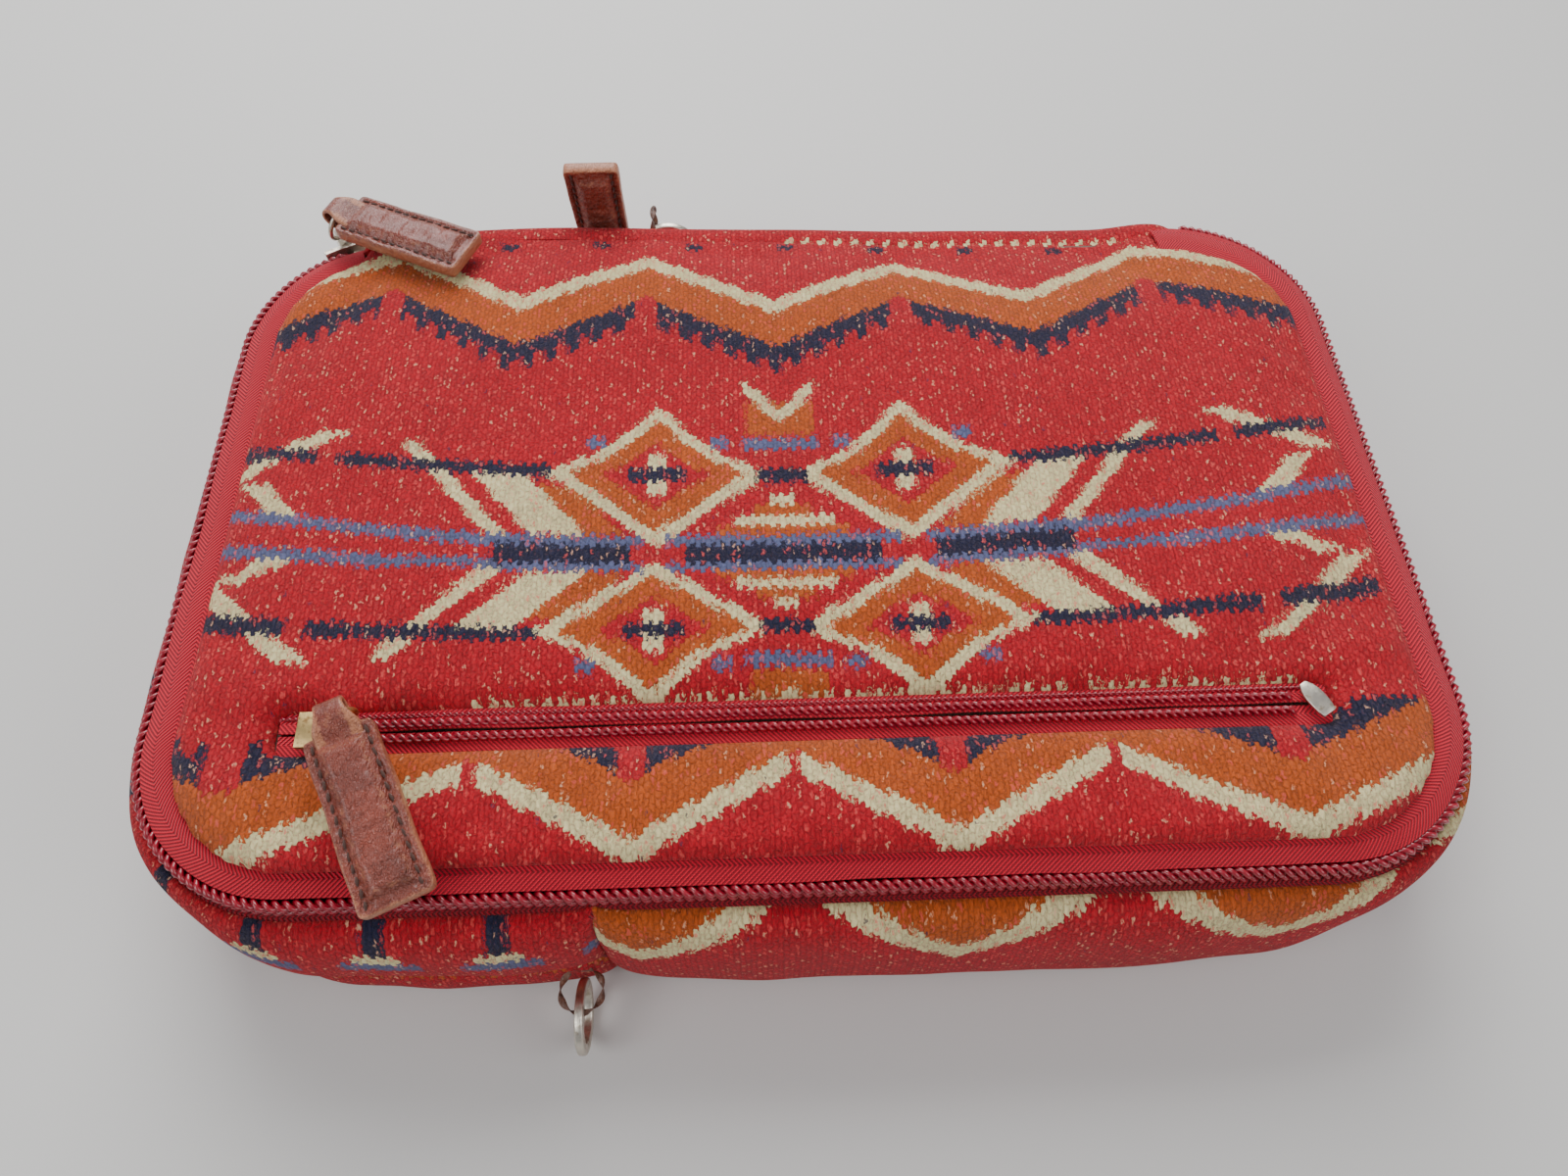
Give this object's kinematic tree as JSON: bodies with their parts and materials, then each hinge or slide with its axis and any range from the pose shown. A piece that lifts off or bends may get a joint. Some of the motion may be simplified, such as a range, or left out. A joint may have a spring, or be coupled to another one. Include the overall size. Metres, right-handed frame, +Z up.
{
  "type": "shaving kit bag",
  "caption": "Soft zipped shaving kit bag in wool jacquard, with a hinged padded cover, a cover pocket, a side zip, leather pulls and sewn-in rings.",
  "frame": {"origin": "centre of the back panel, on the surface the bag lies on", "axes": "+X to the right along the long side, +Y away towards the fabric hinge of the cover, +Z up out of the cover"},
  "size_m": [0.275, 0.207, 0.0642],
  "materials": {
    "wool": "thick woven wool jacquard, fuzzy, matte",
    "lining": "plain woven cotton lining",
    "foam": "soft felt padding",
    "zip_tape": "herringbone woven tape",
    "zip_coil": "moulded nylon coil, slightly shiny",
    "leather": "waxed pull-up leather, scuffed edges",
    "thong": "round leather lace",
    "nickel": "nickel plated, lightly worn",
    "brass": "old brass"
  },
  "bodies": {
    "bag": {"back_panel": "wool", "back_foam": "foam", "back_lining": "lining", "gusset_right": "wool", "gusset_lower": "wool", "gusset_upper": "wool", "main_lining": "lining", "front_lining": "lining", "divider": "lining", "spine": "wool", "body_tape": "zip_tape", "body_coil": "zip_coil", "gusset_tape_lower": "zip_tape", "gusset_tape_upper": "zip_tape", "gusset_coil_lower": "zip_coil", "gusset_coil_upper": "zip_coil", "near_loop": "thong", "far_loop": "thong"},
    "cover": {"cover_panel": "wool", "cover_foam": "foam", "cover_lining": "lining", "pocket_lining": "lining", "cover_tape": "zip_tape", "cover_coil": "zip_coil", "pocket_tape_near": "zip_tape", "pocket_tape_far": "zip_tape", "pocket_coil_near": "zip_coil", "pocket_coil_far": "zip_coil", "pocket_end_stop": "nickel"},
    "main_slider": {"main_slider": "nickel"},
    "main_ring": {"main_ring": "nickel"},
    "main_pull": {"main_pull": "leather"},
    "pocket_slider": {"pocket_slider": "brass"},
    "pocket_ring": {"pocket_ring": "brass"},
    "pocket_pull": {"pocket_pull": "leather"},
    "gusset_slider": {"gusset_slider": "nickel"},
    "gusset_ring": {"gusset_ring": "nickel"},
    "gusset_pull": {"gusset_pull": "leather"},
    "near_ring": {"near_ring": "nickel"},
    "far_ring": {"far_ring": "nickel"}
  },
  "joints": [
    {"name": "cover_hinge", "type": "hinge", "parent": "bag", "child": "cover", "pos_m": [0, 0.084, 0.052], "axis": [-1, 0, 0], "range_deg": [0, 100], "deforming": ["spine", "cover_tape", "cover_coil", "body_tape", "body_coil"]},
    {"name": "main_slider_corner", "type": "hinge", "parent": "cover", "child": "main_slider", "pos_m": [-0.0975, 0.05, 0], "axis": [0, 0, 1], "range_deg": [0, 66]},
    {"name": "main_ring_swing", "type": "hinge", "parent": "main_slider", "child": "main_ring", "pos_m": [-0.11312, 0.08508, 0.049], "axis": [-0.4179, -0.9085, 0], "range_deg": [0, 90]},
    {"name": "main_pull_swing", "type": "hinge", "parent": "main_ring", "child": "main_pull", "pos_m": [-0.1114, 0.08429, 0.05657], "axis": [-0.4179, -0.9085, 0], "range_deg": [0, 70]},
    {"name": "pocket_slider_run", "type": "slide", "parent": "cover", "child": "pocket_slider", "axis": [1, 0, 0], "range_m": [0, 0.184], "deforming": ["pocket_coil_near", "pocket_coil_far"]},
    {"name": "pocket_ring_swing", "type": "hinge", "parent": "pocket_slider", "child": "pocket_ring", "pos_m": [-0.089, -0.0514, 0.0548], "axis": [-0.9135, -0.4067, 0], "range_deg": [0, 90]},
    {"name": "pocket_pull_swing", "type": "hinge", "parent": "pocket_ring", "child": "pocket_pull", "pos_m": [-0.08846, -0.05262, 0.06106], "axis": [-0.9135, -0.4067, 0], "range_deg": [0, 70]},
    {"name": "gusset_slider_run", "type": "slide", "parent": "bag", "child": "gusset_slider", "axis": [-1, 0, 0], "range_m": [0, 0.042], "deforming": ["gusset_coil_lower", "gusset_coil_upper"]},
    {"name": "gusset_ring_swing", "type": "hinge", "parent": "gusset_slider", "child": "gusset_ring", "pos_m": [-0.048, 0.0934, 0.0186], "axis": [-1, 0, 0], "range_deg": [0, 75]},
    {"name": "gusset_pull_swing", "type": "hinge", "parent": "gusset_ring", "child": "gusset_pull", "pos_m": [-0.048, 0.09557, 0.02671], "axis": [-1, 0, 0], "range_deg": [0, 35]},
    {"name": "near_ring_swing", "type": "hinge", "parent": "bag", "child": "near_ring", "pos_m": [-0.048, -0.09945, 0.0122], "axis": [-1, 0, 0], "range_deg": [-5, 100]},
    {"name": "far_ring_swing", "type": "hinge", "parent": "bag", "child": "far_ring", "pos_m": [-0.0345, 0.09505, 0.0361], "axis": [0, 1, 0], "range_deg": [-35, 38]}
  ]
}
